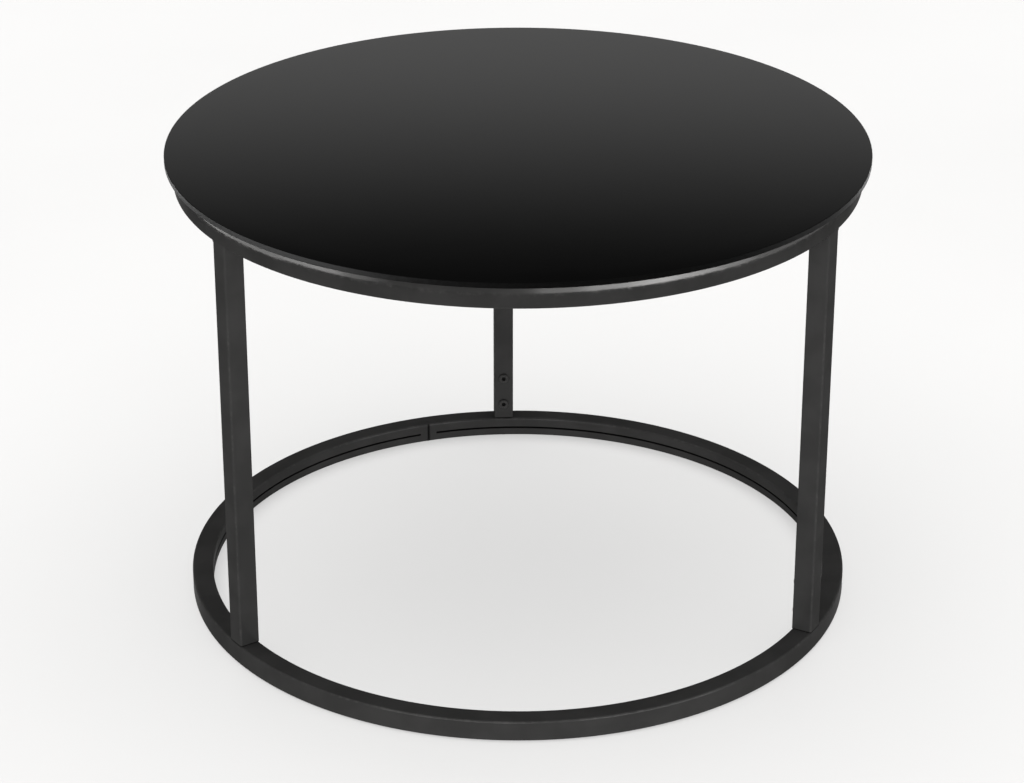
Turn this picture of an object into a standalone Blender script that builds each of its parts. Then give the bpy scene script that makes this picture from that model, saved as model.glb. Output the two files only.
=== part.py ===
"""Round glass-topped table, the outer one of a nest.

A black glass disc lies loose on clear bumpers on a ring of rolled square tube.
Three square-tube legs are welded to the underside of that ring. Each leg slips
over a spigot that stands on an equal ring at the floor, and two low-headed
screws through the leg's inner wall hold it to nuts inside the spigot.

Metres, +Z up. The origin is on the floor, at the centre of the rings. The back
leg stands at +Y and the front of the table is -Y.
"""
import math

import bmesh
import bpy
from mathutils import Matrix, Vector

# Driving dimensions of the whole table
GLASS_RADIUS = 0.325
GLASS_THICKNESS = 0.005
OVERALL_HEIGHT = 0.450
RING_OUTER_RADIUS = 0.3175
TUBE_SIZE = 0.020
TUBE_WALL = 0.0015
TUBE_CORNER = 0.002
LEG_STATIONS = {"back": 90, "front_left": 211.5, "front_right": 328.5}
GAP = 0.0003

# Bevelled outer shoulder of the top ring
SHOULDER_DROP = 0.0068
SHOULDER_LEAN = math.radians(20)
SHOULDER_BLEND = 0.004
SHOULDER_RUN = SHOULDER_DROP * math.tan(SHOULDER_LEAN)

# Glass
GLASS_ARRIS = 0.0005

# Clear bumpers between glass and top ring
BUMPER_RADIUS = 0.0045
BUMPER_STAND_OFF = 0.002
BUMPER_HOLE_RADIUS = 0.0022
BUMPER_BARB_RADIUS = 0.0026
BUMPER_STEM_LENGTH = 0.005

# Push-in floor glides
GLIDE_RADIUS = 0.006
GLIDE_HEIGHT = 0.0012
GLIDE_CHAMFER = 0.0003
GLIDE_HOLE_RADIUS = 0.003
GLIDE_BARB_RADIUS = 0.0035
GLIDE_STEM_LENGTH = 0.007
PADS_PER_RING = 6

# Foot joint: a spigot on the base ring and two M6 screws with low button heads
SPIGOT_SIZE = 0.016
SPIGOT_WALL = 0.0015
SPIGOT_CORNER = 0.002
SPIGOT_HEIGHT = 0.064
SCREW_HEIGHTS = {"lower": 0.017, "upper": 0.047}
SCREW_HOLE_RADIUS = 0.00325
SCREW_SHANK_RADIUS = 0.00268
SCREW_LENGTH = 0.012
SCREW_POINT = 0.0005
HEAD_RADIUS = 0.00525
HEAD_RIM = 0.0005
HEAD_HEIGHT = 0.0020
HEAD_TOP_RADIUS = 0.0031
SOCKET_APOTHEM = 0.002
SOCKET_DEPTH = 0.0014
NUT_APOTHEM = 0.005
NUT_THICKNESS = 0.005
NUT_BORE_RADIUS = 0.003

# Heights that follow from them
BASE_BOTTOM = GLIDE_HEIGHT + GAP
BASE_TOP = BASE_BOTTOM + TUBE_SIZE
GLASS_BOTTOM = OVERALL_HEIGHT - GLASS_THICKNESS
TOP_RING_TOP = GLASS_BOTTOM - BUMPER_STAND_OFF
TOP_RING_BOTTOM = TOP_RING_TOP - TUBE_SIZE
RING_INNER_RADIUS = RING_OUTER_RADIUS - TUBE_SIZE
TUBE_CENTRE_RADIUS = RING_OUTER_RADIUS - TUBE_SIZE / 2
BUMPER_CIRCLE = (RING_INNER_RADIUS + RING_OUTER_RADIUS - SHOULDER_RUN) / 2

# Facets
RING_STEPS = 72
GLASS_STEPS = 96
CORNER_STEPS = 2
SHOULDER_STEPS = 3
HEAD_STEPS = 24
NUT_STEPS = 12
PAD_STEPS = 12
DOME_STEPS = 2
SMOOTH_BELOW = math.radians(35)


def clear_scene():
    for item in list(bpy.data.objects):
        bpy.data.objects.remove(item, do_unlink=True)


def make_material(name, colour, roughness, metallic=0.0):
    material = bpy.data.materials.new(name)
    material.use_nodes = True
    shader = material.node_tree.nodes["Principled BSDF"]
    shader.inputs["Base Color"].default_value = (*colour, 1.0)
    shader.inputs["Roughness"].default_value = roughness
    shader.inputs["Metallic"].default_value = metallic
    return material


def rectangle(low, high):
    return [Vector(low), Vector((high[0], low[1])), Vector(high), Vector((low[0], high[1]))]


def directions(corners, index):
    """Directions in which an outline runs into a corner and out of it."""
    return ((corners[index] - corners[index - 1]).normalized(),
            (corners[(index + 1) % len(corners)] - corners[index]).normalized())


def inset_outline(corners, distance):
    """A convex anticlockwise outline, moved inward by one distance all round."""
    moved = []
    for index, corner in enumerate(corners):
        into, out = directions(corners, index)
        moved.append(corner + (into.orthogonal() + out.orthogonal()) * distance / (1 + into.dot(out)))
    return moved


def rounded_outline(corners, radii, steps):
    """Points along a convex anticlockwise outline, each corner an arc unless its radius is 0."""
    points = []
    for index, (corner, radius, count) in enumerate(zip(corners, radii, steps)):
        if radius == 0:
            points.append(corner)
            continue
        into, out = directions(corners, index)
        turn = into.angle(out)
        start = corner - into * radius * math.tan(turn / 2)
        centre = start + into.orthogonal() * radius
        points += [centre + Matrix.Rotation(turn * step / count, 2) @ (start - centre)
                   for step in range(count + 1)]
    return points


def square_section(size, corner):
    """Outline of a square tube about its own axis."""
    half = size / 2
    return rounded_outline(rectangle((-half, -half), (half, half)), (corner,) * 4, (CORNER_STEPS,) * 4)


def circle_loop(radius, z, steps):
    return [(radius * math.cos(math.tau * step / steps), radius * math.sin(math.tau * step / steps), z)
            for step in range(steps)]


def hexagon_loop(apothem, z, steps):
    """A hexagon with as many points as a round loop, so the two can be bridged."""
    points = []
    for step in range(steps):
        angle = math.tau * step / steps
        from_flat = (angle + math.pi / 6) % (math.pi / 3) - math.pi / 6
        radius = apothem / math.cos(from_flat)
        points.append((radius * math.cos(angle), radius * math.sin(angle), z))
    return points


def finish_mesh(name, bm):
    bmesh.ops.recalc_face_normals(bm, faces=bm.faces)
    mesh = bpy.data.meshes.new(name)
    bm.to_mesh(mesh)
    bm.free()
    mesh.shade_smooth()
    mesh.set_sharp_from_angle(angle=SMOOTH_BELOW)
    return mesh


def skin_mesh(name, loops, closed=False):
    """A solid whose side runs through loops of equal length, capped at both ends unless closed."""
    bm = bmesh.new()
    rows = [[bm.verts.new(point) for point in loop] for loop in loops]
    pairs = list(zip(rows, rows[1:]))
    if closed:
        pairs.append((rows[-1], rows[0]))
    for near, far in pairs:
        for index in range(len(near)):
            after = (index + 1) % len(near)
            bm.faces.new((near[index], near[after], far[after], far[index]))
    if not closed:
        bm.faces.new(list(reversed(rows[0])))
        bm.faces.new(rows[-1])
    return finish_mesh(name, bm)


def prism_mesh(name, outline, bottom, top):
    return skin_mesh(name, [[(x, y, z) for x, y in outline] for z in (bottom, top)])


def ring_mesh(name, section):
    """A closed ring: a section in the XZ plane, spun once round Z."""
    bm = bmesh.new()
    verts = [bm.verts.new((radius, 0, z)) for radius, z in section]
    edges = [bm.edges.new((vert, verts[(index + 1) % len(verts)])) for index, vert in enumerate(verts)]
    bmesh.ops.spin(bm, geom=verts + edges, cent=(0, 0, 0), axis=(0, 0, 1), angle=math.tau,
                   steps=RING_STEPS, use_merge=True)
    return finish_mesh(name, bm)


def place(name, mesh, material=None, parent=None, location=(0, 0, 0), rotation=(0, 0, 0)):
    item = bpy.data.objects.new(name, mesh)
    item.location = location
    item.rotation_euler = rotation
    item.parent = parent
    bpy.context.scene.collection.objects.link(item)
    if material and not mesh.materials:
        mesh.materials.append(material)
    return item


def place_cutter(name, mesh, **where):
    cutter = place(name, mesh, **where)
    cutter.hide_render = True
    cutter.display_type = "WIRE"
    return cutter


def cut(item, cutter):
    modifier = item.modifiers.new(cutter.name, "BOOLEAN")
    modifier.operation = "DIFFERENCE"
    modifier.object = cutter


def hole_cutters_mesh(name, circle, radius, bottom, top):
    """Upright drills at every pad's place on a ring."""
    bm = bmesh.new()
    for x, y, _ in pad_places(circle, 0):
        rows = [[bm.verts.new((x + px, y + py, z)) for px, py, _ in circle_loop(radius, 0, PAD_STEPS)]
                for z in (bottom, top)]
        for index in range(PAD_STEPS):
            after = (index + 1) % PAD_STEPS
            bm.faces.new((rows[0][index], rows[0][after], rows[1][after], rows[1][index]))
        bm.faces.new(list(reversed(rows[0])))
        bm.faces.new(rows[1])
    return finish_mesh(name, bm)


def pad_places(circle, z):
    """One pad in line with the back leg and the others evenly round from it."""
    first = math.radians(LEG_STATIONS["back"])
    return [(circle * math.cos(first + math.tau * index / PADS_PER_RING),
             circle * math.sin(first + math.tau * index / PADS_PER_RING), z)
            for index in range(PADS_PER_RING)]


def build_tube_ring(name, material, corners, radii, steps, drill_mesh):
    """A hollow rolled ring, opened by its drilled holes."""
    inner_radii = [radius - TUBE_WALL if radius > TUBE_CORNER else 0 for radius in radii]
    inner = rounded_outline(inset_outline(corners, TUBE_WALL), inner_radii, steps)
    ring = place(name, ring_mesh(name, rounded_outline(corners, radii, steps)), material)
    cut(ring, place_cutter(name + "_hollow", ring_mesh(name + "_hollow", inner)))
    cut(ring, place_cutter(name + "_drills", drill_mesh))
    return ring


def build_top_ring(material):
    drills = hole_cutters_mesh("bumper_drills", BUMPER_CIRCLE, BUMPER_HOLE_RADIUS,
                               TOP_RING_TOP - 2 * TUBE_WALL, TOP_RING_TOP + TUBE_WALL)
    corners = rectangle((RING_INNER_RADIUS, TOP_RING_BOTTOM), (RING_OUTER_RADIUS, TOP_RING_TOP))
    corners[2:3] = [Vector((RING_OUTER_RADIUS, TOP_RING_TOP - SHOULDER_DROP)),
                    Vector((RING_OUTER_RADIUS - SHOULDER_RUN, TOP_RING_TOP))]
    radii = (TUBE_CORNER, TUBE_CORNER, SHOULDER_BLEND, TUBE_CORNER, TUBE_CORNER)
    steps = (CORNER_STEPS, CORNER_STEPS, 1, SHOULDER_STEPS, CORNER_STEPS)
    build_tube_ring("top_ring", material, corners, radii, steps, drills)


def build_base_ring(material):
    drills = hole_cutters_mesh("glide_drills", TUBE_CENTRE_RADIUS, GLIDE_HOLE_RADIUS,
                               BASE_BOTTOM - TUBE_WALL, BASE_BOTTOM + 2 * TUBE_WALL)
    corners = rectangle((RING_INNER_RADIUS, BASE_BOTTOM), (RING_OUTER_RADIUS, BASE_TOP))
    build_tube_ring("base_ring", material, corners, (TUBE_CORNER,) * 4, (CORNER_STEPS,) * 4, drills)


def build_glass(material):
    inset = GLASS_RADIUS - GLASS_ARRIS
    levels = ((inset, GLASS_BOTTOM), (GLASS_RADIUS, GLASS_BOTTOM + GLASS_ARRIS),
              (GLASS_RADIUS, OVERALL_HEIGHT - GLASS_ARRIS), (inset, OVERALL_HEIGHT))
    loops = [circle_loop(radius, z, GLASS_STEPS) for radius, z in levels]
    place("glass_top", skin_mesh("glass_top", loops), material)


def build_bumpers(material):
    """Clear pads with a barbed stem, pushed into the top ring from above."""
    stem_radius = BUMPER_HOLE_RADIUS - GAP
    wall_underside = -TUBE_WALL - 2 * GAP
    levels = ((stem_radius / 2, -BUMPER_STEM_LENGTH), (BUMPER_BARB_RADIUS, wall_underside - GAP),
              (BUMPER_BARB_RADIUS, wall_underside), (stem_radius, wall_underside), (stem_radius, GAP),
              (BUMPER_RADIUS, GAP), (BUMPER_RADIUS, BUMPER_STAND_OFF - GAP))
    mesh = skin_mesh("bumper", [circle_loop(radius, z, PAD_STEPS) for radius, z in levels])
    for index, spot in enumerate(pad_places(BUMPER_CIRCLE, TOP_RING_TOP), 1):
        place(f"bumper_{index}", mesh, material, location=spot)


def build_glides(material):
    """Floor glides with a barbed stem, pushed into the base ring from below."""
    stem_radius = GLIDE_HOLE_RADIUS - GAP
    wall_topside = BASE_BOTTOM + TUBE_WALL + GAP
    levels = ((GLIDE_RADIUS - GLIDE_CHAMFER, 0), (GLIDE_RADIUS, GLIDE_CHAMFER), (GLIDE_RADIUS, GLIDE_HEIGHT),
              (stem_radius, GLIDE_HEIGHT), (stem_radius, wall_topside), (GLIDE_BARB_RADIUS, wall_topside),
              (GLIDE_BARB_RADIUS, wall_topside + GAP), (stem_radius / 2, GLIDE_HEIGHT + GLIDE_STEM_LENGTH))
    mesh = skin_mesh("glide", [circle_loop(radius, z, PAD_STEPS) for radius, z in levels])
    for index, spot in enumerate(pad_places(TUBE_CENTRE_RADIUS, 0), 1):
        place(f"glide_{index}", mesh, material, location=spot)


def screw_mesh():
    """M6 screw along +Z, low button head up, its shank drawn plain at the thread's pitch diameter."""
    levels = [(SCREW_SHANK_RADIUS - SCREW_POINT, -SCREW_LENGTH), (SCREW_SHANK_RADIUS, SCREW_POINT - SCREW_LENGTH),
              (SCREW_SHANK_RADIUS, 0), (HEAD_RADIUS, 0), (HEAD_RADIUS, HEAD_RIM)]
    for step in range(1, DOME_STEPS + 1):
        angle = math.pi / 2 * step / DOME_STEPS
        levels.append((HEAD_TOP_RADIUS + (HEAD_RADIUS - HEAD_TOP_RADIUS) * math.cos(angle),
                       HEAD_RIM + (HEAD_HEIGHT - HEAD_RIM) * math.sin(angle)))
    loops = [circle_loop(radius, z, HEAD_STEPS) for radius, z in levels]
    loops += [hexagon_loop(SOCKET_APOTHEM, z, HEAD_STEPS) for z in (HEAD_HEIGHT, HEAD_HEIGHT - SOCKET_DEPTH)]
    return skin_mesh("screw", loops)


def nut_mesh():
    """M6 hexagon nut about +Z, bored at the thread's major diameter."""
    levels = (0, NUT_THICKNESS)
    outside = [hexagon_loop(NUT_APOTHEM, z, NUT_STEPS) for z in levels]
    bore = [circle_loop(NUT_BORE_RADIUS, z, NUT_STEPS) for z in reversed(levels)]
    return skin_mesh("nut", outside + bore, closed=True)


def screw_hole_cutters(station_name, foot, station):
    """Drills through the inner walls of a leg and its spigot, one for each screw."""
    inner_face = -TUBE_SIZE / 2
    reach = TUBE_SIZE / 2
    mesh = skin_mesh("screw_drill", [circle_loop(SCREW_HOLE_RADIUS, z, PAD_STEPS) for z in (-reach, TUBE_WALL)])
    return [place_cutter(f"drill_{station_name}_{level}", mesh, parent=station,
                         location=(inner_face, 0, foot + height), rotation=(0, -math.pi / 2, 0))
            for level, height in SCREW_HEIGHTS.items()]


def build_tube(name, material, station, size, wall, corner, bottom, top):
    """An upright square tube on the station's axis, open at both ends."""
    tube = place(name, prism_mesh(name, square_section(size, corner), bottom, top), material, parent=station)
    bore = square_section(size - 2 * wall, corner / 2)
    bore_mesh = prism_mesh(name + "_bore", bore, bottom - wall, top + wall)
    cut(tube, place_cutter(name + "_bore", bore_mesh, parent=station))
    return tube


def build_station(name, azimuth, materials, screw, nut):
    """One leg with its spigot, screws and nuts, about an empty whose +X points away from the centre."""
    station = place(f"station_{name}", None, location=(TUBE_CENTRE_RADIUS * math.cos(math.radians(azimuth)),
                                                       TUBE_CENTRE_RADIUS * math.sin(math.radians(azimuth)), 0),
                    rotation=(0, 0, math.radians(azimuth)))
    foot = BASE_TOP + GAP
    leg = build_tube(f"leg_{name}", materials["gloss_black"], station, TUBE_SIZE, TUBE_WALL, TUBE_CORNER,
                     foot, TOP_RING_BOTTOM - GAP)
    spigot = build_tube(f"spigot_{name}", materials["black_primer"], station, SPIGOT_SIZE, SPIGOT_WALL,
                        SPIGOT_CORNER, foot, foot + SPIGOT_HEIGHT)
    for cutter in screw_hole_cutters(name, foot, station):
        cut(leg, cutter)
        cut(spigot, cutter)
    inward = (0, -math.pi / 2, 0)
    head_seat = -TUBE_SIZE / 2 - GAP
    nut_back = -SPIGOT_SIZE / 2 + SPIGOT_WALL + GAP + NUT_THICKNESS
    for level, height in SCREW_HEIGHTS.items():
        place(f"screw_{name}_{level}", screw, materials["black_screw"], parent=station,
              location=(head_seat, 0, foot + height), rotation=inward)
        place(f"nut_{name}_{level}", nut, materials["zinc"], parent=station,
              location=(nut_back, 0, foot + height), rotation=inward)


def build_table():
    materials = {
        "gloss_black": make_material("gloss_black_steel", (0.020, 0.020, 0.019), 0.12),
        "black_primer": make_material("primed_steel", (0.035, 0.035, 0.035), 0.5, 0.2),
        "black_screw": make_material("black_screw", (0.03, 0.03, 0.03), 0.3, 0.6),
        "zinc": make_material("zinc_nut", (0.55, 0.56, 0.58), 0.35, 1.0),
        "glass": make_material("black_glass", (0.006, 0.006, 0.007), 0.03),
        "clear": make_material("clear_rubber", (0.75, 0.77, 0.78), 0.25),
        "glide": make_material("black_plastic", (0.03, 0.03, 0.03), 0.55),
    }
    build_glass(materials["glass"])
    build_bumpers(materials["clear"])
    build_top_ring(materials["gloss_black"])
    build_base_ring(materials["gloss_black"])
    build_glides(materials["glide"])
    screw = screw_mesh()
    nut = nut_mesh()
    for name, azimuth in LEG_STATIONS.items():
        build_station(name, azimuth, materials, screw, nut)


clear_scene()
build_table()
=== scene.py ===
"""Looks for the round glass-topped table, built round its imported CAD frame.

Metres, +Z up, the frame's own axes: the back leg stands at +Y and the camera looks from -Y.
"""
import math

import bmesh
import bpy
from mathutils import Matrix, Vector


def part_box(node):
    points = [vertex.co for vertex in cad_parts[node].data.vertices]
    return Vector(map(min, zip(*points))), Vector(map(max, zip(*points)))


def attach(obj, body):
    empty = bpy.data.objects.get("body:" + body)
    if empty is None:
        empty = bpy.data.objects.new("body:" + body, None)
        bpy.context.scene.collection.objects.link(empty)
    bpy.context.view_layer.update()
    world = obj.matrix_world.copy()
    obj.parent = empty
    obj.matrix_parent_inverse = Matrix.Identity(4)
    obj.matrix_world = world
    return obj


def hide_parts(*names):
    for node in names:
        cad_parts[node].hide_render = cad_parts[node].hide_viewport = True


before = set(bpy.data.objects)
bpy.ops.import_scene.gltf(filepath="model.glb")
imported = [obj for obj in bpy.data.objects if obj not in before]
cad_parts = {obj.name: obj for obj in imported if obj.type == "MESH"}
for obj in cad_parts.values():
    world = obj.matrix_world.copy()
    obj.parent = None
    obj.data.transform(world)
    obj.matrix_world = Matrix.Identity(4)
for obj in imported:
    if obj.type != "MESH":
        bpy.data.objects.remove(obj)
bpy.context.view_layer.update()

# Camera: the photograph's viewing angle
CAMERA_LENS = 108.74
CAMERA_PLACE = (-0.1351, -2.6667, 1.4735)
CAMERA_TURN = (math.radians(64.42), 0, math.radians(-2.78))

# Tubes: outer corner radius, wall, and the top ring's bevelled outer shoulder
TUBE_CORNER = 0.002
TUBE_WALL = 0.0015
LEAST_INNER_CORNER = 0.0005
SHOULDER_DROP = 0.0068
SHOULDER_LEAN = math.radians(20)
SHOULDER_BLEND = 0.016

# Clearance that the CAD leaves between pieces that touch
TOUCH_GAP = 0.0003

# Facets of the fine meshes
RING_STEPS = 360
GLASS_STEPS = 360
CORNER_STEPS = 6
BLEND_STEPS = 8
FILLET_STEPS = 6
HEAD_STEPS = 48
PAD_STEPS = 40
SHARP_ABOVE = math.radians(32)

STATIONS = ("back", "front_left", "front_right")
LEVELS = ("lower", "upper")


# ---------------------------------------------------------------- outlines

def rectangle(low, high):
    """Corners of an upright rectangle, anticlockwise from its lower left one."""
    return [Vector(low), Vector((high[0], low[1])), Vector(high), Vector((low[0], high[1]))]


def directions(corners, index):
    """Directions in which an outline runs into a corner and out of it."""
    return ((corners[index] - corners[index - 1]).normalized(),
            (corners[(index + 1) % len(corners)] - corners[index]).normalized())


def inset_outline(corners, distance):
    """A convex anticlockwise outline, moved inward by one distance all round."""
    moved = []
    for index, corner in enumerate(corners):
        into, out = directions(corners, index)
        moved.append(corner + (into.orthogonal() + out.orthogonal()) * distance / (1 + into.dot(out)))
    return moved


def rounded_outline(corners, radii, steps):
    """Points along a convex anticlockwise outline, each corner an arc."""
    points = []
    for index, (corner, radius, count) in enumerate(zip(corners, radii, steps)):
        into, out = directions(corners, index)
        turn = into.angle(out)
        start = corner - into * radius * math.tan(turn / 2)
        centre = start + into.orthogonal() * radius
        points += [centre + Matrix.Rotation(turn * step / count, 2) @ (start - centre)
                   for step in range(count + 1)]
    return points


def circle(radius, z, steps):
    """A level loop round the Z axis."""
    return [(radius * math.cos(math.tau * step / steps), radius * math.sin(math.tau * step / steps), z)
            for step in range(steps)]


def hexagon(apothem, z, steps):
    """A hexagon with as many points as a round loop, so that the two can be bridged."""
    points = []
    for step in range(steps):
        angle = math.tau * step / steps
        from_flat = (angle + math.pi / 6) % (math.pi / 3) - math.pi / 6
        radius = apothem / math.cos(from_flat)
        points.append((radius * math.cos(angle), radius * math.sin(angle), z))
    return points


# ---------------------------------------------------------------- meshes

def bridge(bm, rows, closed, flip=False):
    """Quads between rows of vertices that each run round a loop."""
    pairs = list(zip(rows, rows[1:]))
    if closed:
        pairs.append((rows[-1], rows[0]))
    for near, far in pairs:
        for index in range(len(near)):
            after = (index + 1) % len(near)
            corners = [near[index], near[after], far[after], far[index]]
            if flip:
                corners.reverse()
            bm.faces.new(corners)


def loops_mesh(name, loops, closed=False):
    """A solid whose skin runs through loops of equal length, capped at both ends unless closed."""
    bm = bmesh.new()
    rows = [[bm.verts.new(point) for point in loop] for loop in loops]
    bridge(bm, rows, closed)
    if not closed:
        bm.faces.new(list(reversed(rows[0])))
        bm.faces.new(rows[-1])
    bmesh.ops.recalc_face_normals(bm, faces=bm.faces)
    mesh = bpy.data.meshes.new(name)
    bm.to_mesh(mesh)
    bm.free()
    return mesh


def apply_cuts(item, cutters):
    """Cuts the cutters out of a piece for good, and removes them."""
    for cutter in cutters:
        cut = item.modifiers.new(cutter.name, "BOOLEAN")
        cut.operation = "DIFFERENCE"
        cut.solver = "EXACT"
        cut.object = cutter
    bpy.context.view_layer.update()
    evaluated = item.evaluated_get(bpy.context.evaluated_depsgraph_get())
    cut_mesh = bpy.data.meshes.new_from_object(evaluated)
    item.modifiers.clear()
    plain_mesh = item.data
    item.data = cut_mesh
    cut_mesh.name = plain_mesh.name
    bpy.data.meshes.remove(plain_mesh)
    for cutter in cutters:
        cutter_mesh = cutter.data
        bpy.data.objects.remove(cutter)
        if not cutter_mesh.users:
            bpy.data.meshes.remove(cutter_mesh)


def link(name, mesh, matrix=None):
    item = bpy.data.objects.new(name, mesh)
    if matrix is not None:
        item.matrix_world = matrix
    bpy.context.scene.collection.objects.link(item)
    return item


def write_share(mesh, name, share_of):
    """Keeps a number from 0 to 1 at each point, such as how near an edge is, for the materials."""
    values = mesh.attributes.new(name, "FLOAT", "POINT")
    for vertex in mesh.vertices:
        values.data[vertex.index].value = share_of(vertex.co)


def finish_piece(item, material, body, nodes):
    """Smooth shading with true flats, then the piece's material and body, and hides the CAD nodes it
    replaces.
    """
    mesh = item.data
    mesh.shade_smooth()
    mesh.set_sharp_from_angle(angle=SHARP_ABOVE)
    mesh.materials.clear()
    mesh.materials.append(material)
    flats = item.modifiers.new("true_flats", "WEIGHTED_NORMAL")
    flats.keep_sharp = True
    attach(item, body)
    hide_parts(*nodes)
    return item


def nearness(corners, radii):
    """A function of a point of a section: 1 in the middle of a rounded corner, 0 on the flats."""
    spans = []
    for index, (corner, radius) in enumerate(zip(corners, radii)):
        into, out = directions(corners, index)
        half_turn = into.angle(out) / 2
        spans.append((corner, radius * math.tan(half_turn), radius * (1 / math.cos(half_turn) - 1)))

    def near(across, up):
        point = Vector((across, up))
        best = 0.0
        for corner, reach, middle in spans:
            best = max(best, (reach - (point - corner).length) / (reach - middle))
        return min(1.0, best)
    return near


def azimuth_of(node):
    """Direction from the table's axis in which a CAD node stands."""
    low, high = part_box(node)
    return math.atan2(low.y + high.y, low.x + high.x)


# ---------------------------------------------------------------- rings

# Butt weld: where it is, how far it reaches each way along the tube, its bead, dark line and tint
WELD_AZIMUTH = math.radians(105.7)
WELD_REACH = 0.010
WELD_STEPS = 32
BEAD_HEIGHT = 0.00016
BEAD_HALF_WIDTH = 0.0012
WELD_LINE = 0.002
HEAT_REACH = 0.030
HEAT_STRENGTH = 0.5

# Long seam: a groove along the inner wall that stops short of the butt weld
SEAM_DEPTH = 0.0006
SEAM_HALF_WIDTH = 0.0012
SEAM_FLOOR = 0.0006
SEAM_BELOW_MIDDLE = 0.001
SEAM_STOP = WELD_REACH * 0.9
SEAM_MARGIN = 1.2

BUMPER_HOLE_RADIUS = 0.0022
GLIDE_HOLE_RADIUS = 0.0030


def turn_between(start, end):
    """The turn from one azimuth to another, from -pi to pi."""
    return (end - start + math.pi) % math.tau - math.pi


def ring_angles(weld, radius):
    """Even steps round the ring, made fine where the butt weld crosses the tube."""
    reach = WELD_REACH / radius
    angles = []
    for step in range(RING_STEPS):
        angle = math.tau * step / RING_STEPS
        if abs(turn_between(weld, angle)) > reach * 1.1:
            angles.append(angle)
    for step in range(WELD_STEPS + 1):
        angles.append((weld + reach * (2 * step / WELD_STEPS - 1)) % math.tau)
    return sorted(angles)


def ring_corners(node):
    """Corners of a ring's section, with their radii and facets, from the ring's box."""
    low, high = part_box(node)
    size = high.z - low.z
    corners = rectangle((high.x - size, low.z), (high.x, high.z))
    radii = [TUBE_CORNER] * 4
    steps = [CORNER_STEPS] * 4
    if node == "top_ring":
        run = SHOULDER_DROP * math.tan(SHOULDER_LEAN)
        corners[2:3] = [Vector((high.x, high.z - SHOULDER_DROP)), Vector((high.x - run, high.z))]
        radii.insert(2, SHOULDER_BLEND)
        steps.insert(2, BLEND_STEPS)
    return corners, radii, steps


def ring_piece(name, node):
    """A hollow rolled tube ring with its long seam on the inner wall and its ground butt weld."""
    low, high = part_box(node)
    half = (high.z - low.z) / 2
    centre_radius = high.x - half
    middle = (low.z + high.z) / 2
    corners, radii, steps = ring_corners(node)
    outline = [(point.x, point.y) for point in rounded_outline(corners, radii, steps)]
    wall = high.x - 2 * half
    seam = middle - SEAM_BELOW_MIDDLE
    for offset in (SEAM_HALF_WIDTH, SEAM_FLOOR, -SEAM_FLOOR, -SEAM_HALF_WIDTH):
        outline.append((wall, seam + offset))
    groove = (len(outline) - 3, len(outline) - 2)
    inner_radii = [max(radius - TUBE_WALL, LEAST_INNER_CORNER) for radius in radii]
    inside = rounded_outline(inset_outline(corners, TUBE_WALL), inner_radii, [2] * len(corners))
    bm = bmesh.new()
    outer_rows = []
    inner_rows = []
    for angle in ring_angles(WELD_AZIMUTH, centre_radius):
        away = turn_between(WELD_AZIMUTH, angle) * centre_radius
        grow = 1 + BEAD_HEIGHT * math.exp(-(away / BEAD_HALF_WIDTH) ** 2) / half
        row = []
        for index, (radius, z) in enumerate(outline):
            spread_radius = centre_radius + (radius - centre_radius) * grow
            if index in groove and abs(away) > SEAM_STOP:
                spread_radius += SEAM_DEPTH
            row.append(bm.verts.new((spread_radius * math.cos(angle), spread_radius * math.sin(angle),
                                     middle + (z - middle) * grow)))
        outer_rows.append(row)
        inner_rows.append([bm.verts.new((radius * math.cos(angle), radius * math.sin(angle), z))
                           for radius, z in inside])
    bridge(bm, outer_rows, closed=True)
    bridge(bm, inner_rows, closed=True, flip=True)
    mesh = bpy.data.meshes.new(name)
    bm.to_mesh(mesh)
    bm.free()
    return link(name, mesh)


def moved_to(place, loops):
    """Loops round the Z axis, moved sideways to stand round a place."""
    return [[(place.x + x, place.y + y, z) for x, y, z in loop] for loop in loops]


def drill(name, place, radius, bottom, top):
    """An upright cylinder to cut a hole with."""
    loops = [circle(radius, z, PAD_STEPS) for z in (bottom, top)]
    return link(name, loops_mesh(name, moved_to(place, loops)))


def pad_places(word):
    """Where each bumper or glide of the CAD stands, from its box."""
    spots = {}
    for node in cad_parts:
        if node.startswith(word):
            low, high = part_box(node)
            spots[node] = (low + high) / 2
    return spots


def seam_marks(node):
    """1 in the dark line of the long seam and of the butt weld on a ring's inner wall, 0 elsewhere."""
    low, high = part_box(node)
    seam = (low.z + high.z) / 2 - SEAM_BELOW_MIDDLE
    wall = high.x - (high.z - low.z)

    def seam_of(point):
        radius = math.hypot(point.x, point.y)
        if radius > wall + SEAM_DEPTH * SEAM_MARGIN:
            return 0.0
        away = abs(turn_between(WELD_AZIMUTH, math.atan2(point.y, point.x))) * radius
        if away < WELD_LINE:
            return 1 - away / WELD_LINE
        return 1.0 if away > SEAM_STOP and abs(point.z - seam) < SEAM_FLOOR * SEAM_MARGIN else 0.0
    return seam_of


def heat_marks(node):
    """The faint brown tint that the butt weld's heat left in the coat of a ring's inner wall."""
    low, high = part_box(node)
    wall = high.x - (high.z - low.z)

    def heat_of(point):
        radius = math.hypot(point.x, point.y)
        away = abs(turn_between(WELD_AZIMUTH, math.atan2(point.y, point.x))) * radius
        fade = max(0.0, 1 - away / HEAT_REACH)
        return HEAT_STRENGTH * fade if radius < wall + SEAM_DEPTH * SEAM_MARGIN else 0.0
    return heat_of


def ring_edges(node):
    """How near a point of a ring is to one of its worn corners."""
    corners, radii, _ = ring_corners(node)
    near = nearness(corners, radii)
    return lambda point: near(math.hypot(point.x, point.y), point.z)


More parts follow.
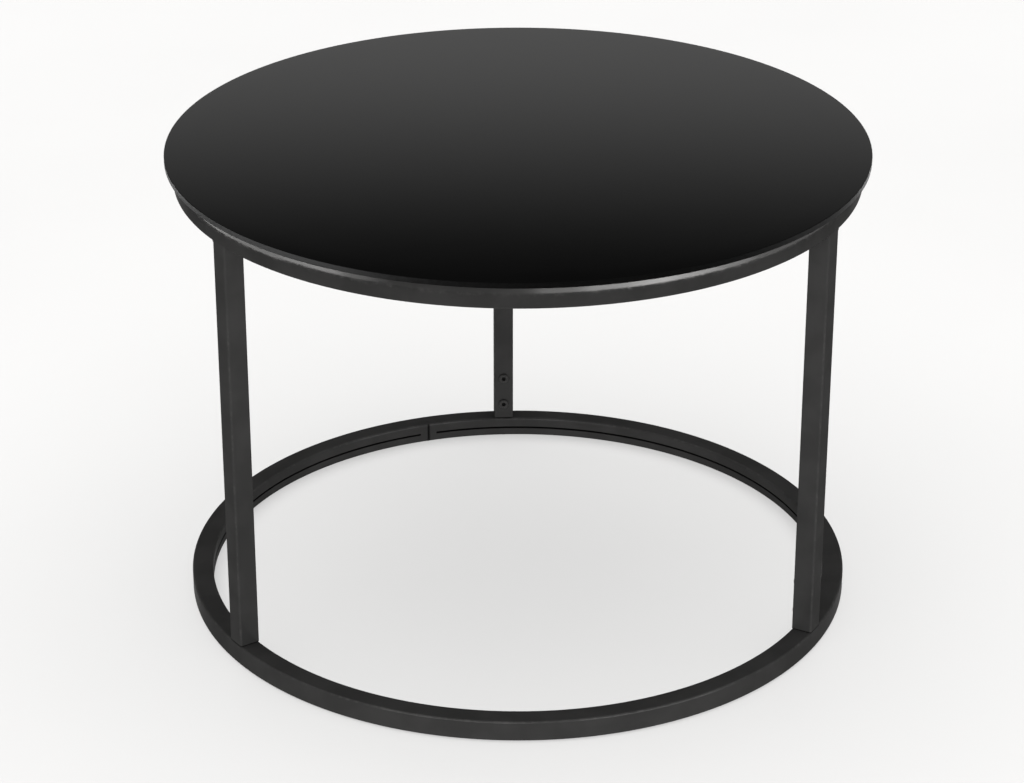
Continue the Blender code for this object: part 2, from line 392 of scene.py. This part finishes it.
def build_ring(paint, node, face, pads, hole_radius):
    """A ring with holes in its upper or lower face for the stems of its pads."""
    ring = ring_piece(node + "_fine", node)
    drills = [drill(f"drill_{pad}", place, hole_radius, face - 2 * TUBE_WALL, face + 2 * TUBE_WALL)
              for pad, place in pad_places(pads).items()]
    apply_cuts(ring, drills)
    write_share(ring.data, "edge", ring_edges(node))
    write_share(ring.data, "seam", seam_marks(node))
    write_share(ring.data, "heat", heat_marks(node))
    return finish_piece(ring, paint, "frame", [node])


def build_rings(paint):
    _, top_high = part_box("top_ring")
    base_low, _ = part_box("base_ring")
    return (build_ring(paint, "top_ring", top_high.z, "bumper_", BUMPER_HOLE_RADIUS),
            build_ring(paint, "base_ring", base_low.z, "glide_", GLIDE_HOLE_RADIUS))


# ---------------------------------------------------------------- legs

WELD_FILLET = 0.0012
FOOT_CHAMFER = 0.0004
# The foot's band: its lower half is painted near black, as the shade where the leg stands on the base
# ring
FOOT_SHADE_BAND = 0.0014
HEAD_IN_RING = TUBE_CORNER * 0.96
SCREW_HOLE_RADIUS = 0.00325


def leg_section(half_radial, half_tangential, z):
    """Loop round a leg in its own axes: +X away from the table's centre, +Y along the ring."""
    outline = rounded_outline(rectangle((-half_radial, -half_tangential), (half_radial, half_tangential)),
                              (TUBE_CORNER,) * 4, (CORNER_STEPS,) * 4)
    return [(point.x, point.y, z) for point in outline]


def leg_piece(name, azimuth, foot, ring_bottom, half, centre_radius, screw_heights):
    """A hollow leg whose head flares along the ring as its ground weld does, and ends inside the ring."""
    inset = half - FOOT_CHAMFER
    loops = [leg_section(inset, inset, foot), leg_section(half, half, foot + FOOT_CHAMFER),
             leg_section(half, half, foot + FOOT_SHADE_BAND)]
    plain_top = ring_bottom - WELD_FILLET
    for share in (0.2, 0.4, 0.6, 0.8):
        loops.append(leg_section(half, half, foot + (plain_top - foot) * share))
    for step in range(FILLET_STEPS + 1):
        turn = math.pi / 2 * step / FILLET_STEPS
        flare = WELD_FILLET * (1 - math.cos(turn))
        loops.append(leg_section(half, half + flare, plain_top + WELD_FILLET * math.sin(turn)))
    head = ring_bottom + HEAD_IN_RING
    loops.append(leg_section(half, half + WELD_FILLET, head))
    bore = half - TUBE_WALL
    bore_outline = rounded_outline(rectangle((-bore, -bore), (bore, bore)), (TUBE_CORNER / 2,) * 4,
                                   (CORNER_STEPS,) * 4)
    for z in (head, foot):
        loops.append([(point.x, point.y, z) for point in bore_outline])
    leg = link(name, loops_mesh(name, loops, closed=True))
    cutters = []
    for z in screw_heights:
        shape = loops_mesh("screw_drill", [circle(SCREW_HOLE_RADIUS, level, PAD_STEPS)
                                           for level in (-half, half / 2)])
        shape.transform(Matrix.Translation((-half, 0, z)) @ Matrix.Rotation(-math.pi / 2, 4, "Y"))
        cutters.append(link("screw_drill", shape))
    apply_cuts(leg, cutters)
    near = nearness(rectangle((-half, -half), (half, half)), (TUBE_CORNER,) * 4)

    def edge_of(point):
        if point.z < foot + FOOT_CHAMFER / 2:
            return 1.0
        if point.z > ring_bottom - WELD_FILLET:
            return 0.0
        return near(point.x, point.y)
    write_share(leg.data, "edge", edge_of)
    # Painted shade: the foot's lowest part is near black, as the shade where the leg stands on the base
    # ring
    write_share(leg.data, "seam", lambda point: 1.0 if point.z < foot + FOOT_SHADE_BAND / 2 else 0.0)
    leg.data.transform(Matrix.Rotation(azimuth, 4, "Z") @ Matrix.Translation((centre_radius, 0, 0)))
    return leg


def build_legs(paint):
    ring_low, ring_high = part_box("top_ring")
    leg_low, leg_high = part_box("leg_back")
    half = (leg_high.x - leg_low.x) / 2
    legs = []
    for station in STATIONS:
        node = f"leg_{station}"
        heights = []
        for level in LEVELS:
            low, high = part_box(f"screw_{station}_{level}")
            heights.append((low.z + high.z) / 2)
        leg = leg_piece(node + "_fine", azimuth_of(node), leg_low.z, ring_low.z, half,
                        ring_high.x - half, heights)
        legs.append(finish_piece(leg, paint, "frame", [node]))
    return legs


# ---------------------------------------------------------------- small pieces

# M6 screw: shank, low domed head and hexagon socket
SHANK_RADIUS = 0.00268
SHANK_LENGTH = 0.012
HEAD_RADIUS = 0.00525
HEAD_RIM = 0.0005
HEAD_HEIGHT = 0.0020
CROWN_RADIUS = 0.0031
DOME_STEPS = 8
SOCKET_APOTHEM = 0.002
SOCKET_LEAD = 0.0002
SOCKET_DEPTH = 0.0014
SOCKET_POINT_RADIUS = 0.0006
SHANK_CHAMFER = 0.0005
# Height above the seat up to which a screw's head is painted near black, as shade round its seat
SEAT_SHADE_HEIGHT = 0.0008

# Stem bumpers and push-in glides
SOFT_EDGE = 0.0001
BARB_EDGE = 0.0003
BUMPER_ROUND = 0.0004
BUMPER_STEM = 0.0019
BUMPER_BARB = 0.0026
GLIDE_ROUND = 0.0003
GLIDE_STEM = 0.0027
GLIDE_BARB = 0.0035
GLIDE_SCUFF = 0.0002


def screw_loops():
    """The screw along +Z from its seat at z=0: shank below, domed head with its socket above."""
    socket_floor = HEAD_HEIGHT - SOCKET_DEPTH
    loops = [circle(SHANK_RADIUS - SHANK_CHAMFER, -SHANK_LENGTH, HEAD_STEPS),
             circle(SHANK_RADIUS, SHANK_CHAMFER - SHANK_LENGTH, HEAD_STEPS),
             circle(SHANK_RADIUS, 0, HEAD_STEPS),
             circle(HEAD_RADIUS - SOFT_EDGE, 0, HEAD_STEPS),
             circle(HEAD_RADIUS, SOFT_EDGE, HEAD_STEPS),
             circle(HEAD_RADIUS, HEAD_RIM, HEAD_STEPS)]
    for step in range(1, DOME_STEPS + 1):
        angle = math.pi / 2 * step / DOME_STEPS
        loops.append(circle(CROWN_RADIUS + (HEAD_RADIUS - CROWN_RADIUS) * math.cos(angle),
                            HEAD_RIM + (HEAD_HEIGHT - HEAD_RIM) * math.sin(angle), HEAD_STEPS))
    loops += [hexagon(SOCKET_APOTHEM + SOCKET_LEAD, HEAD_HEIGHT, HEAD_STEPS),
              hexagon(SOCKET_APOTHEM, HEAD_HEIGHT - SOCKET_LEAD, HEAD_STEPS),
              hexagon(SOCKET_APOTHEM, socket_floor, HEAD_STEPS),
              circle(SOCKET_POINT_RADIUS, socket_floor - 0.0003, HEAD_STEPS)]
    return loops


def screw_wear(point):
    """1 on a screw's crown, where a key rubs it."""
    return 1.0 if point.z > HEAD_HEIGHT * 0.9 else 0.0


def screw_painted_shade(point):
    """Painted shade: 1 in a screw's socket and round its seat, where the light doesn't reach, 0 on the
    head.
    """
    in_socket = (math.hypot(point.x, point.y) < SOCKET_APOTHEM * 1.2
                 and point.z < HEAD_HEIGHT - SOCKET_LEAD / 2)
    return 1.0 if in_socket or point.z < SEAT_SHADE_HEIGHT else 0.0


def build_screws(material):
    """Two screws in the inner face of each leg, each head's crown where the CAD's is."""
    screws = []
    for station in STATIONS:
        azimuth = azimuth_of(f"leg_{station}")
        outward = Vector((math.cos(azimuth), math.sin(azimuth), 0))
        turn = Matrix.Rotation(azimuth, 4, "Z") @ Matrix.Rotation(-math.pi / 2, 4, "Y")
        for level in LEVELS:
            node = f"screw_{station}_{level}"
            low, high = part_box(node)
            corners = [vertex.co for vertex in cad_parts[node].data.vertices]
            seat = min(corner.dot(outward) for corner in corners) + HEAD_HEIGHT
            mesh = loops_mesh(node + "_fine", screw_loops())
            write_share(mesh, "edge", screw_wear)
            # The screw's seam attribute holds painted shade: 1 in its socket and round its seat
            write_share(mesh, "seam", screw_painted_shade)
            place = (outward.x * seat, outward.y * seat, (low.z + high.z) / 2)
            mesh.transform(Matrix.Translation(place) @ turn)
            screw = link(node + "_fine", mesh)
            screws.append(finish_piece(screw, material, "frame", [node]))
    return screws


def build_bumpers(material):
    """Clear pads: a soft-edged head with a slightly dished crown, and a barbed stem in the ring."""
    _, ring_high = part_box("top_ring")
    head_bottom = ring_high.z + TOUCH_GAP
    for node, place in pad_places("bumper_").items():
        low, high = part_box(node)
        radius = (high.y - low.y) / 2
        barb_top = ring_high.z - 0.0021
        levels = [(0.001, low.z), (BUMPER_BARB, barb_top - BARB_EDGE), (BUMPER_BARB, barb_top),
                  (BUMPER_STEM, barb_top), (BUMPER_STEM, head_bottom),
                  (radius - SOFT_EDGE, head_bottom), (radius, head_bottom + SOFT_EDGE)]
        for step in range(5):
            angle = math.pi / 2 * step / 4
            levels.append((radius - BUMPER_ROUND + BUMPER_ROUND * math.cos(angle),
                           high.z - BUMPER_ROUND + BUMPER_ROUND * math.sin(angle)))
        levels += [(radius * 0.55, high.z), (radius * 0.35, high.z - 0.0002)]
        loops = [circle(reach, z, PAD_STEPS) for reach, z in levels]
        bumper = link(node + "_fine", loops_mesh(node + "_fine", moved_to(place, loops)))
        finish_piece(bumper, material, "frame", [node])


def build_glides(material):
    """Moulded floor glides: rounded foot with a shallow dimple, and a barbed stem in the ring."""
    ring_low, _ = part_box("base_ring")
    head_top = ring_low.z - TOUCH_GAP
    barb_bottom = ring_low.z + 0.0018
    for node, place in pad_places("glide_").items():
        low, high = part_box(node)
        radius = (high.y - low.y) / 2
        levels = [(0.0012, 0.0003), (0.0018, 0.0), (radius - GLIDE_ROUND, 0.0)]
        for step in range(1, 4):
            angle = math.pi / 2 * step / 3
            levels.append((radius - GLIDE_ROUND + GLIDE_ROUND * math.sin(angle),
                           GLIDE_ROUND - GLIDE_ROUND * math.cos(angle)))
        levels += [(radius, head_top), (GLIDE_STEM, head_top), (GLIDE_STEM, barb_bottom),
                   (GLIDE_BARB, barb_bottom), (GLIDE_BARB, barb_bottom + BARB_EDGE),
                   (GLIDE_STEM / 2, high.z)]
        loops = [circle(reach, z, PAD_STEPS) for reach, z in levels]
        mesh = loops_mesh(node + "_fine", moved_to(place, loops))
        write_share(mesh, "edge", lambda point: 1.0 if point.z < GLIDE_SCUFF else 0.0)
        finish_piece(link(node + "_fine", mesh), material, "frame", [node])


def build_glass(material, rim_material):
    """The black disc: flat faces in rings, a satin rim and a rounded arris above and below."""
    low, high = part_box("glass_top")
    radius = high.x
    arris = 0.0005
    arris_steps = 4
    inner = (0.02, 0.1, 0.2, 0.3)
    angles = [math.pi / 2 * step / arris_steps for step in range(arris_steps + 1)]
    levels = [(part, low.z) for part in inner]
    levels += [(radius - arris + arris * math.sin(angle), low.z + arris - arris * math.cos(angle))
               for angle in angles]
    levels += [(radius - arris + arris * math.cos(angle), high.z - arris + arris * math.sin(angle))
               for angle in angles]
    levels += [(part, high.z) for part in reversed(inner)]
    mesh = loops_mesh("glass_top_fine", [circle(reach, z, GLASS_STEPS) for reach, z in levels])

    def edge_of(point):
        past_flat = math.hypot(point.x, point.y) - (radius - arris * 1.01)
        return min(1.0, max(0.0, past_flat / (arris / 2)))
    write_share(mesh, "edge", edge_of)
    glass = link("glass_top_fine", mesh)
    finish_piece(glass, material, "glass", ["glass_top"])
    glass.data.materials.append(rim_material)
    for face in glass.data.polygons:
        if abs(face.normal.z) < 0.999:
            face.material_index = 1
    return glass


# ---------------------------------------------------------------- materials

def add(tree, kind, inputs=None, **settings):
    """A new shader node. An input is a number, a colour or another node's output."""
    made = tree.nodes.new("ShaderNode" + kind)
    for key, value in settings.items():
        setattr(made, key, value)
    for key, value in (inputs or {}).items():
        socket = made.inputs[key]
        if isinstance(value, bpy.types.NodeSocket):
            tree.links.new(value, socket)
        else:
            socket.default_value = value
    return made


def spread(tree, value, low, high, low_to, high_to):
    """The value's range low to high carried over to low_to to high_to, smoothly and clamped."""
    return add(tree, "MapRange", {"Value": value, "From Min": low, "From Max": high, "To Min": low_to,
                                  "To Max": high_to}, interpolation_type="SMOOTHSTEP").outputs["Result"]


def noise(tree, place, scale, detail=3.0, rough=0.5):
    inputs = {"Vector": place, "Scale": scale, "Detail": detail, "Roughness": rough}
    return add(tree, "TexNoise", inputs).outputs[0]


def share(tree, name):
    """What write_share kept under a name."""
    return add(tree, "Attribute", attribute_name=name).outputs["Fac"]


def times(tree, first, second):
    return add(tree, "Math", {0: first, 1: second}, operation="MULTIPLY").outputs[0]


def plus(tree, first, second):
    return add(tree, "Math", {0: first, 1: second}, operation="ADD").outputs[0]


def blend(tree, factor, first, second):
    return add(tree, "Mix", {0: factor, 6: first, 7: second}, data_type="RGBA").outputs[2]


def grey(level, warmth=0.0):
    return (level * (1 + warmth), level, level * (1 - warmth), 1.0)


def new_material(name):
    """A material with its node tree, its shader and the place on the piece to lay detail by."""
    material = bpy.data.materials.new(name)
    material.use_nodes = True
    tree = material.node_tree
    shader = tree.nodes["Principled BSDF"]
    place = add(tree, "TexCoord").outputs["Object"]
    return material, tree, shader, place


def set_surface(tree, shader, colour, roughness, height, depth):
    tree.links.new(colour, shader.inputs["Base Color"])
    tree.links.new(roughness, shader.inputs["Roughness"])
    bump = add(tree, "Bump", {"Strength": 1.0, "Distance": depth, "Height": height})
    tree.links.new(bump.outputs["Normal"], shader.inputs["Normal"])


def gloss_paint():
    """Gloss black coat: faint mottling and orange peel, paler and duller along the edges.

    Its low, tinted reflectance keeps the upright faces even, as it doesn't climb at a glancing view.
    """
    material, tree, shader, place = new_material("gloss_black_coat")
    mottle = noise(tree, place, 30, 4)
    seam = share(tree, "seam")
    worn = spread(tree, noise(tree, place, 160, 4, 0.65), 0.45, 0.7, 0, 1)
    rubbed = times(tree, share(tree, "edge"), worn)
    base = blend(tree, spread(tree, mottle, 0.35, 0.65, 0, 1), grey(0.033, 0.012), grey(0.039, 0.012))
    tinted = blend(tree, share(tree, "heat"), base, (0.062, 0.052, 0.038, 1.0))
    coated = blend(tree, times(tree, rubbed, 0.6), tinted, grey(0.06, 0.02))
    # Near black where the seam attribute is set: the rings' seam and weld lines, and painted shade at the
    # foot of each leg
    colour = blend(tree, seam, coated, grey(0.001))
    duller = times(tree, plus(tree, rubbed, seam), 0.08)
    roughness = plus(tree, spread(tree, mottle, 0.3, 0.7, 0.15, 0.19), duller)
    set_surface(tree, shader, colour, roughness, noise(tree, place, 700, 2), 0.0000004)
    shader.inputs["Metallic"].default_value = 0.2
    shader.inputs["Specular Tint"].default_value = grey(0.5)
    shader.inputs["IOR"].default_value = 1.0
    return material


def black_glass():
    """Deep black polished glass: a trace of haze in its gloss, duller where the arris begins."""
    material, tree, shader, place = new_material("black_tempered_glass")
    edge = share(tree, "edge")
    haze = noise(tree, place, 9, 5, 0.6)
    base = blend(tree, spread(tree, haze, 0.35, 0.65, 0, 1), grey(0.0005), grey(0.0009))
    colour = blend(tree, times(tree, edge, 0.5), base, (0.004, 0.0045, 0.0045, 1.0))
    roughness = plus(tree, spread(tree, haze, 0.3, 0.7, 0.015, 0.035), times(tree, edge, 0.08))
    set_surface(tree, shader, colour, roughness, noise(tree, place, 25, 1), 0.0000008)
    shader.inputs["IOR"].default_value = 1.5
    return material


def glass_rim():
    """The disc's rim: ground satin black, with a fine uneven grind."""
    material, tree, shader, place = new_material("black_glass_rim")
    grind = noise(tree, place, 400, 4, 0.6)
    colour = blend(tree, spread(tree, grind, 0.35, 0.65, 0, 1), grey(0.0045), grey(0.0065))
    set_surface(tree, shader, colour, spread(tree, grind, 0.3, 0.7, 0.45, 0.55), grind, 0.000002)
    shader.inputs["Metallic"].default_value = 1
    shader.inputs["Specular Tint"].default_value = grey(0.48)
    return material


def black_oxide():
    """Blackened screw steel: uneven oxide, paler where a key has rubbed it, and painted shade, near
    black, in its socket and round its seat.
    """
    material, tree, shader, place = new_material("black_oxide_steel")
    patch = noise(tree, place, 900, 4, 0.6)
    base = blend(tree, spread(tree, patch, 0.35, 0.65, 0, 1), grey(0.024), grey(0.040, 0.03))
    fine_patch = spread(tree, noise(tree, place, 1800, 3), 0.5, 0.65, 0, 0.7)
    rubbed = times(tree, share(tree, "edge"), fine_patch)
    worn = blend(tree, rubbed, base, grey(0.07, 0.02))
    # Painted shade: near black in the socket and round the seat
    colour = blend(tree, share(tree, "seam"), worn, grey(0.001))
    set_surface(tree, shader, colour, spread(tree, patch, 0.3, 0.7, 0.34, 0.5),
                noise(tree, place, 2500, 3), 0.000004)
    shader.inputs["Metallic"].default_value = 0.2
    shader.inputs["IOR"].default_value = 1.25
    return material


def zinc_plate():
    """Plated nut: fine spangle and a slight blue-grey tone."""
    material, tree, shader, place = new_material("zinc_plate")
    spangle = noise(tree, place, 1200, 3, 0.6)
    colour = blend(tree, spangle, (0.42, 0.43, 0.46, 1.0), (0.62, 0.63, 0.66, 1.0))
    set_surface(tree, shader, colour, spread(tree, spangle, 0.3, 0.7, 0.28, 0.45),
                noise(tree, place, 3000, 2), 0.000004)
    shader.inputs["Metallic"].default_value = 1.0
    return material


def matt_primer():
    """Thin matt primer: dusty, granular, with paler scuffs."""
    material, tree, shader, place = new_material("matt_black_primer")
    dust = noise(tree, place, 250, 5, 0.65)
    colour = blend(tree, spread(tree, dust, 0.4, 0.75, 0, 1), grey(0.03), grey(0.075, 0.04))
    set_surface(tree, shader, colour, spread(tree, dust, 0.3, 0.7, 0.45, 0.65),
                noise(tree, place, 2200, 3), 0.00001)
    return material


def clear_rubber():
    """Clear polyurethane: a soft skin, faintly clouded inside."""
    material, tree, shader, place = new_material("clear_polyurethane")
    cloud = noise(tree, place, 500, 3)
    colour = blend(tree, cloud, (0.72, 0.75, 0.77, 1.0), (0.86, 0.88, 0.88, 1.0))
    set_surface(tree, shader, colour, spread(tree, cloud, 0.3, 0.7, 0.18, 0.32),
                noise(tree, place, 1500, 2), 0.000004)
    shader.inputs["Transmission Weight"].default_value = 0.85
    shader.inputs["IOR"].default_value = 1.49
    return material


def moulded_plastic():
    """Matt moulded plastic, scuffed grey where it meets the floor."""
    material, tree, shader, place = new_material("moulded_black_plastic")
    grain = noise(tree, place, 1500, 3)
    patch = spread(tree, noise(tree, place, 600, 4, 0.7), 0.4, 0.65, 0, 0.8)
    scuff = times(tree, share(tree, "edge"), patch)
    base = blend(tree, grain, grey(0.018), grey(0.03))
    colour = blend(tree, scuff, base, grey(0.14, 0.05))
    set_surface(tree, shader, colour, spread(tree, grain, 0.3, 0.7, 0.45, 0.6), grain, 0.00001)
    return material


def floor_material():
    """Plain pale studio floor, faintly clouded."""
    material, tree, shader, place = new_material("pale_floor")
    cloud = noise(tree, place, 1.5, 4)
    colour = blend(tree, cloud, grey(0.44, 0.004), grey(0.47, 0.004))
    set_surface(tree, shader, colour, spread(tree, cloud, 0.3, 0.7, 0.75, 0.85),
                noise(tree, place, 60, 3), 0.00002)
    return material


def dress_cad_node(node, material):
    """Gives a CAD node that is shown as it is its material."""
    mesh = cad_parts[node].data
    mesh.materials.clear()
    mesh.materials.append(material)


# ---------------------------------------------------------------- studio

FLOOR_RINGS = (0.05, 0.5, 1, 2, 4, 8, 16, 40)
FLOOR_STEPS = 96

# Soft upright panels in a ring round the table, each an azimuth and a width in degrees, the height of
# its foot and its radiance. An azimuth of 0 is the front, and it grows to the camera's right.
TOP_PANELS = ((-118, 28, 0, 34), (-91, 26, 0.1, 20), (-68, 20, 0.5, 27), (-53, 12, 0.6, 12),
              (-22, 46, 0.6, 1.5), (10, 14, 0.6, 17), (24, 14, 0.6, 31), (38, 14, 0.5, 52),
              (52, 14, 0.45, 40), (66, 14, 0.35, 20), (95, 40, 0.1, 8), (130, 30, 0, 14))
RIM_PANELS = ((-122, 28, 0, 48), (-90, 40, 0, 38), (-58, 24, 0, 38), (95, 36, 0, 24), (129, 32, 0, 32))
FRAME_PANELS = ((-20, 50, 0, 6), (40, 50, 0, 8))
PANEL_DISTANCE = 3.0
TOP_PANEL_HEIGHT = 2.0
FRAME_PANEL_HEIGHT = 1.5

# The rim's panels stay below the glass, so that its face never mirrors them
RIM_PANEL_DISTANCE = 1.5
RIM_PANEL_HEIGHT = 0.43


def build_floor():
    """A wide level floor, in rings that grow outward."""
    bm = bmesh.new()
    rows = [[bm.verts.new(point) for point in circle(radius, 0, FLOOR_STEPS)] for radius in FLOOR_RINGS]
    bridge(bm, rows, closed=False, flip=True)
    bm.faces.new(rows[0])
    bmesh.ops.recalc_face_normals(bm, faces=bm.faces)
    mesh = bpy.data.meshes.new("floor")
    bm.to_mesh(mesh)
    bm.free()
    mesh.materials.append(floor_material())
    floor = link("floor", mesh)
    return floor


def build_world():
    """A pale sweep at the horizon that falls to dark above it, under a broad soft light overhead."""
    world = bpy.data.worlds.new("studio")
    world.use_nodes = True
    tree = world.node_tree
    direction = add(tree, "TexCoord").outputs["Generated"]
    up = add(tree, "SeparateXYZ", {"Vector": direction}).outputs["Z"]
    horizon = spread(tree, up, 0.0, 0.25, 0.36, 0.0)
    sweep = spread(tree, up, 0.320, 0.402, 0.42, 0.022)
    overhead = spread(tree, up, 0.55, 0.78, 0.0, 1.5)
    strength = plus(tree, plus(tree, horizon, sweep), overhead)
    background = tree.nodes["Background"]
    background.inputs["Color"].default_value = (1.0, 0.997, 0.99, 1.0)
    tree.links.new(strength, background.inputs["Strength"])
    bpy.context.scene.world = world


def build_panels(panels, distance, height, receivers, name):
    """Panels that only the receivers mirror, so that the glass keeps its own gradient."""
    group = light_group(name + "_receivers", receivers)
    for index, (azimuth, span, foot, radiance) in enumerate(panels, 1):
        light = bpy.data.lights.new(f"{name}_{index}", "AREA")
        light.shape = "RECTANGLE"
        light.size = 2 * distance * math.tan(math.radians(span) / 2)
        light.size_y = height
        light.energy = radiance * math.pi * light.size * height
        item = bpy.data.objects.new(light.name, light)
        angle = math.radians(azimuth)
        item.location = (distance * math.sin(angle), -distance * math.cos(angle), foot + height / 2)
        item.rotation_euler = (math.pi / 2, 0, angle)
        item.visible_camera = False
        item.visible_diffuse = False
        item.light_linking.receiver_collection = group
        bpy.context.scene.collection.objects.link(item)


def light_group(name, members):
    """A collection of the pieces that a light reaches, or that block it."""
    group = bpy.data.collections.new(name)
    for item in members:
        group.objects.link(item)
    return group


def build_floor_light(floor):
    """Soft light from above for the floor alone, so that the shadow under the table stays pale."""
    light = bpy.data.lights.new("floor_light", "SUN")
    light.energy = 3.7
    light.angle = math.radians(20)
    item = bpy.data.objects.new("floor_light", light)
    item.location = (0, 0, 3)
    item.light_linking.receiver_collection = light_group("floor_light_receivers", [floor])
    item.light_linking.blocker_collection = light_group("floor_light_blockers", [floor])
    bpy.context.scene.collection.objects.link(item)


def build_front_fill(name, receivers, width, height, energy):
    """A broad fill from the front for the receivers alone, mirrored by nothing."""
    light = bpy.data.lights.new(name, "AREA")
    light.shape = "RECTANGLE"
    light.size = width
    light.size_y = height
    light.energy = energy
    item = bpy.data.objects.new(name, light)
    item.location = (0, -PANEL_DISTANCE, height / 2)
    item.rotation_euler = (math.pi / 2, 0, 0)
    item.visible_camera = False
    item.visible_glossy = False
    item.light_linking.receiver_collection = light_group(name + "_receivers", receivers)
    bpy.context.scene.collection.objects.link(item)


def build_camera():
    """The camera where the photograph was taken from."""
    camera = bpy.data.objects.new("camera", bpy.data.cameras.new("camera"))
    camera.data.lens = CAMERA_LENS
    camera.data.sensor_width = 36
    camera.location = CAMERA_PLACE
    camera.rotation_euler = CAMERA_TURN
    bpy.context.scene.collection.objects.link(camera)
    bpy.context.scene.camera = camera


build_camera()
paint = gloss_paint()
top_ring, base_ring = build_rings(paint)
legs = build_legs(paint)
screws = build_screws(black_oxide())
build_bumpers(clear_rubber())
build_glides(moulded_plastic())
glass = build_glass(black_glass(), glass_rim())
primer = matt_primer()
zinc = zinc_plate()
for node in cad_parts:
    if node.startswith("spigot"):
        dress_cad_node(node, primer)
    elif node.startswith("nut"):
        dress_cad_node(node, zinc)

build_floor_light(build_floor())
build_world()
build_panels(TOP_PANELS, PANEL_DISTANCE, TOP_PANEL_HEIGHT, [top_ring], "top_panels")
build_panels(RIM_PANELS, RIM_PANEL_DISTANCE, RIM_PANEL_HEIGHT, [glass], "rim_panels")
build_panels(FRAME_PANELS, PANEL_DISTANCE, FRAME_PANEL_HEIGHT, [base_ring, *legs], "frame_panels")
build_front_fill("top_fill", [top_ring], 4.0, 2.0, 42)
build_front_fill("frame_fill", [base_ring, *legs, *screws], 6.0, 2.6, 115)
bpy.context.scene.view_settings.view_transform = "Standard"
